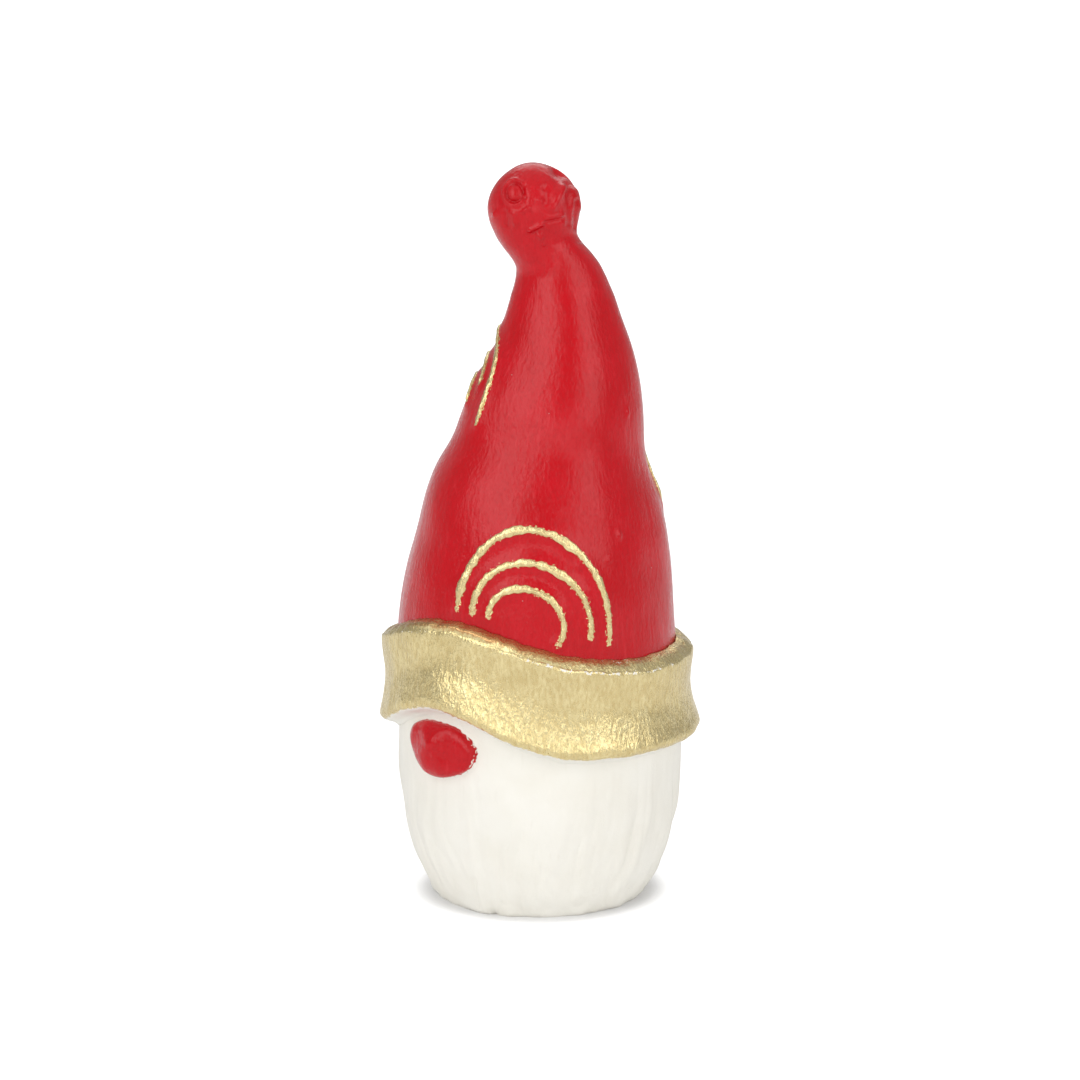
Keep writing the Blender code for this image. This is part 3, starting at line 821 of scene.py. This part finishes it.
def cuff(finish):
    """Strip of clay round the joint, brushed upright, with a ragged lip, a worn ridge and a sloping top."""
    azimuth = turns(CUFF_AROUND)
    low = CUFF_LOW + CUFF_LOW_ARCH * swell(azimuth, 2, 24)
    top = CUFF_TOP + CUFF_TOP_ARCH * swell(azimuth, 5, 32)
    low = low + 0.28 * lumps(polar(azimuth, 26.0, 0.0), 2.4, 12)
    top = top + 0.30 * lumps(polar(azimuth, 25.0, 0.0), 2.0, 13)
    ridge = top - CUFF_BEVEL + 0.18 * lumps(polar(azimuth, 25.0, 0.0), 3.0, 14)
    under = low - CUFF_UNDERSIDE - CUFF_SAG * swell(azimuth, CUFF_SAG_AZIMUTH, 25)
    shift = hat_lean(ridge)
    same = np.ones_like(azimuth)
    tilt = swell(azimuth, 10, 18)
    controls = [
        (along(BEARD_PROFILE, low - 0.9) + 0.02, low - 1.1, 0 * same),
        (along(BEARD_PROFILE, low - 0.5) + 0.55, low - 0.55, 0 * same),
        ((CUFF_LIP_RADIUS - 1.0) * same, low - 0.1, 0 * same),
        ((CUFF_LIP_RADIUS - 0.2) * same, low + 0.55, 0 * same),
        (CUFF_LIP_RADIUS * same, low + 1.4, 0 * same),
        ((CUFF_WAIST_RADIUS + 0.65) * same, low + 4.0, 0.4 * shift),
        (CUFF_WAIST_RADIUS - 0.25 * tilt, 0.4 * low + 0.6 * ridge, 0.8 * shift),
        (CUFF_RIDGE_RADIUS - 1.1 * tilt, ridge - 0.25, shift),
        (CUFF_RIDGE_RADIUS - 0.4 - 0.9 * tilt, ridge + 0.75, shift),
        ((CUFF_RIDGE_RADIUS - 1.35) * same, top - 0.55, shift),
        (hat_radius(top) + 0.1, top, hat_lean(top)),
    ]
    rows = smooth_rows([np.array(row) for row in controls], CUFF_SPAN_STEPS)
    radius, height, lean = rows[:, 0], rows[:, 1], rows[:, 2]
    place = polar(azimuth[None, :], radius, height, lean)
    row = np.arange(len(rows))[:, None]
    inner = ramp(row, 0, 5) * ramp(len(rows) - row, 1, 6)
    relief = 0.05 * lumps(place, 0.55, 15, stretch=5.0) + 0.16 * lumps(place, 3.4, 16, stretch=1.8)
    relief = relief + 0.22 * lumps(place, 9.0, 17)
    outside = polar(azimuth[None, :], radius + inner * relief, height, lean)
    lining = []
    for z, inset in ((top - 2.5, 0.6), (39.5 * same, 0.6), (SPLIT_HEIGHT * same, 0.6)):
        lining.append(polar(azimuth, hat_radius(z) - inset, z, hat_lean(z)))
    lining.append(polar(azimuth, along(BEARD_PROFILE, under) - 0.6, np.maximum(under, low - 1.0)))
    rings = np.concatenate((outside, np.array(lining)))
    lip = height - low - 0.05 - 0.4 * swell(azimuth, 5, 22)
    lip = np.concatenate((lip, np.full((len(lining), CUFF_AROUND), 3.0)))
    from_ridge = height - ridge
    worn = 0.16 * swell(azimuth, 88, 22) + 0.14 * swell(azimuth, 45, 22) + 0.12 * swell(azimuth, -8, 14)
    worn = worn + 0.10 * swell(azimuth, -120, 40)
    wear = (worn + 0.04) * np.exp(-(((from_ridge - 0.35) / 0.4) ** 2)) - 0.02
    wear = wear + 0.16 * swell(azimuth, 82, 22) * np.exp(-(((height - top + 0.3) / 0.3) ** 2))
    wear = np.concatenate((wear, np.full((len(lining), CUFF_AROUND), -0.5)))
    seam = (0.45 + 0.55 * swell(azimuth, 20, 35)) * ramp(height - top, -2.0, -0.2)
    seam = np.concatenate((seam, np.zeros((len(lining), CUFF_AROUND))))
    return skin(
        "cuff_brushed",
        rings,
        "hat_cuff",
        "gold_paint",
        finish,
        ring_of_rings=True,
        lip_mm=lip,
        wear=wear,
        seam=seam,
    )


def hat_place(azimuth, height):
    """Places on the worked hat along an arch, where it has swollen to its full height."""
    relief = hat_relief(azimuth, height, np.zeros_like(azimuth))
    return polar(azimuth, hat_radius(height) + relief, height, hat_lean(height))


def coils(finish):
    """The arches: thin coils of clay, uneven where they were pressed down and gilded."""
    for m, motif in enumerate(MOTIFS):
        for a, arch in enumerate(ARCHES):
            seed = 20 + 3 * m + a
            azimuth, height = coil_path(motif, arch, COIL_STEPS)
            centre = hat_place(azimuth, height)
            round_it = hat_place(azimuth + 0.02, height) - hat_place(azimuth - 0.02, height)
            up_it = hat_place(azimuth, height + 0.4) - hat_place(azimuth, height - 0.4)
            normal = np.cross(round_it, up_it)
            normal /= np.linalg.norm(normal, axis=-1, keepdims=True)
            forward = np.gradient(centre, axis=0)
            side = np.cross(normal, forward)
            side /= np.linalg.norm(side, axis=-1, keepdims=True)
            share = np.linspace(0, 1, COIL_STEPS)
            ends = ramp(share, 0.0, 0.05) * ramp(1 - share, 0.0, 0.03)
            thin = 1.0 - 0.30 * ramp(share, 0.70, 0.95)
            half = COIL_HALF_WIDTH * motif[4] ** 2 * thin * (0.22 + 0.78 * ends)
            wide = half * (1 + 0.5 * lumps(centre, 3.0, seed))
            left = wide * (1 + 0.45 * lumps(centre, 0.9, seed + 40))
            right = wide * (1 + 0.45 * lumps(centre, 0.9, seed + 80))
            rise = COIL_RISE * (0.3 + 0.7 * ends) * (1 + 0.4 * lumps(centre, 1.5, seed + 120))
            rings = []
            for k in np.linspace(0, math.pi, 9):
                out = np.where(k < math.pi / 2, -left, right) * abs(math.cos(k))
                rings.append(centre + side * out[:, None] + normal * (rise * math.sin(k) - 0.05)[:, None])
            for out in (0.9 * right, -0.9 * left):
                rings.append(centre + side * out[:, None] - normal * COIL_ROOT)
            rings = np.array(rings).transpose(1, 0, 2)
            name = f"{motif[0]}_{arch[0]}"
            skin("coil_" + name, rings, "arch_" + name, "gold_paint", finish)


# ---------------------------------------------------------------- stage


def stage():
    """Pale floor, soft lights and the camera. The floor's glow is mostly for the camera's own rays, and
    fades out near the foot as a painted contact shadow.
    """
    corners = FLOOR_CELLS + 1
    across = np.linspace(-FLOOR_HALF_WIDTH, FLOOR_HALF_WIDTH, corners)
    points = [(x, y, 0.0) for y in across for x in across]
    faces = []
    for row in range(FLOOR_CELLS):
        for column in range(FLOOR_CELLS):
            corner = corners * row + column
            faces.append((corner, corner + 1, corner + corners + 1, corner + corners))
    mesh = bpy.data.meshes.new("floor")
    mesh.from_pydata(points, [], faces)
    made, tree, shader = new_material("pale_floor")
    speckle = grain(tree, 40.0, detail=2.0)
    join(tree, shader, Base_Color=blend(tree, speckle, (0.83, 0.83, 0.84), (0.85, 0.85, 0.86)))
    shader.inputs["Roughness"].default_value = 0.9
    shader.inputs["Specular IOR Level"].default_value = 0.1
    shader.inputs["Emission Color"].default_value = (1.0, 1.0, 1.0, 1.0)
    place = put(tree, "TexCoord").outputs["Object"]
    away = put(tree, "VectorMath", {0: place}, operation="LENGTH").outputs["Value"]
    # The near glow is nothing at the foot's edge and whole a little past it: a painted contact shadow on the
    # floor
    glow_past_painted_shadow = put(
        tree,
        "MapRange",
        {
            "Value": away,
            "From Min": PAINTED_SHADOW_INNER * MM,
            "From Max": PAINTED_SHADOW_OUTER * MM,
            "To Min": 0.0,
            "To Max": NEAR_GLOW,
        },
        interpolation_type="SMOOTHSTEP",
    ).outputs[0]
    far_glow = level(tree, away, *FAR_GLOW_REACH, 0.0, FAR_GLOW)
    seen = put(tree, "LightPath").outputs["Is Camera Ray"]
    share = level(tree, seen, 0.0, 1.0, UNSEEN_GLOW_SHARE, 1.0)
    whole_glow = calc(tree, "ADD", glow_past_painted_shadow, far_glow)
    join(tree, shader, Emission_Strength=calc(tree, "MULTIPLY", whole_glow, share))
    mesh.materials.append(made)
    floor = bpy.data.objects.new("floor", mesh)
    bpy.context.scene.collection.objects.link(floor)

    world = bpy.data.worlds.new("soft_room")
    world.use_nodes = True
    world.node_tree.nodes["Background"].inputs["Color"].default_value = (1.0, 1.0, 1.0, 1.0)
    world.node_tree.nodes["Background"].inputs["Strength"].default_value = ROOM_BRIGHTNESS
    bpy.context.scene.world = world

    for name, azimuth, elevation, distance, width, height, power in LIGHTS:
        lamp = bpy.data.lights.new(name, "AREA")
        lamp.shape = "RECTANGLE"
        lamp.size = width
        lamp.size_y = height
        lamp.energy = power
        holder = bpy.data.objects.new(name, lamp)
        way = direction(azimuth, elevation)
        holder.location = Vector((0, 0, LIGHT_AIM * MM)) + distance * way
        holder.rotation_euler = way.to_track_quat("Z", "Y").to_euler()
        bpy.context.scene.collection.objects.link(holder)

    lens = bpy.data.cameras.new("camera")
    lens.lens = CAMERA_LENS
    lens.sensor_width = CAMERA_SENSOR
    lens.clip_start = 0.01
    camera = bpy.data.objects.new("camera", lens)
    way = direction(CAMERA_AZIMUTH, CAMERA_ELEVATION)
    camera.location = Vector((0, 0, CAMERA_AIM * MM)) + CAMERA_DISTANCE * MM * way
    camera.rotation_euler = way.to_track_quat("Z", "Y").to_euler()
    bpy.context.scene.collection.objects.link(camera)
    bpy.context.scene.camera = camera
    bpy.context.scene.view_settings.view_transform = "Standard"


def main():
    clay = white_clay()
    red = red_paint()
    gold = gold_paint()
    beard(clay)
    hat(red_paint_with_gold_flecks())
    pompom(red)
    nose(nose_paint())
    cuff(chipped_gold())
    coils(gold)
    bare = foot_clay()
    for material_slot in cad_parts["base_disc"].material_slots:
        material_slot.material = bare
    stage()


main()
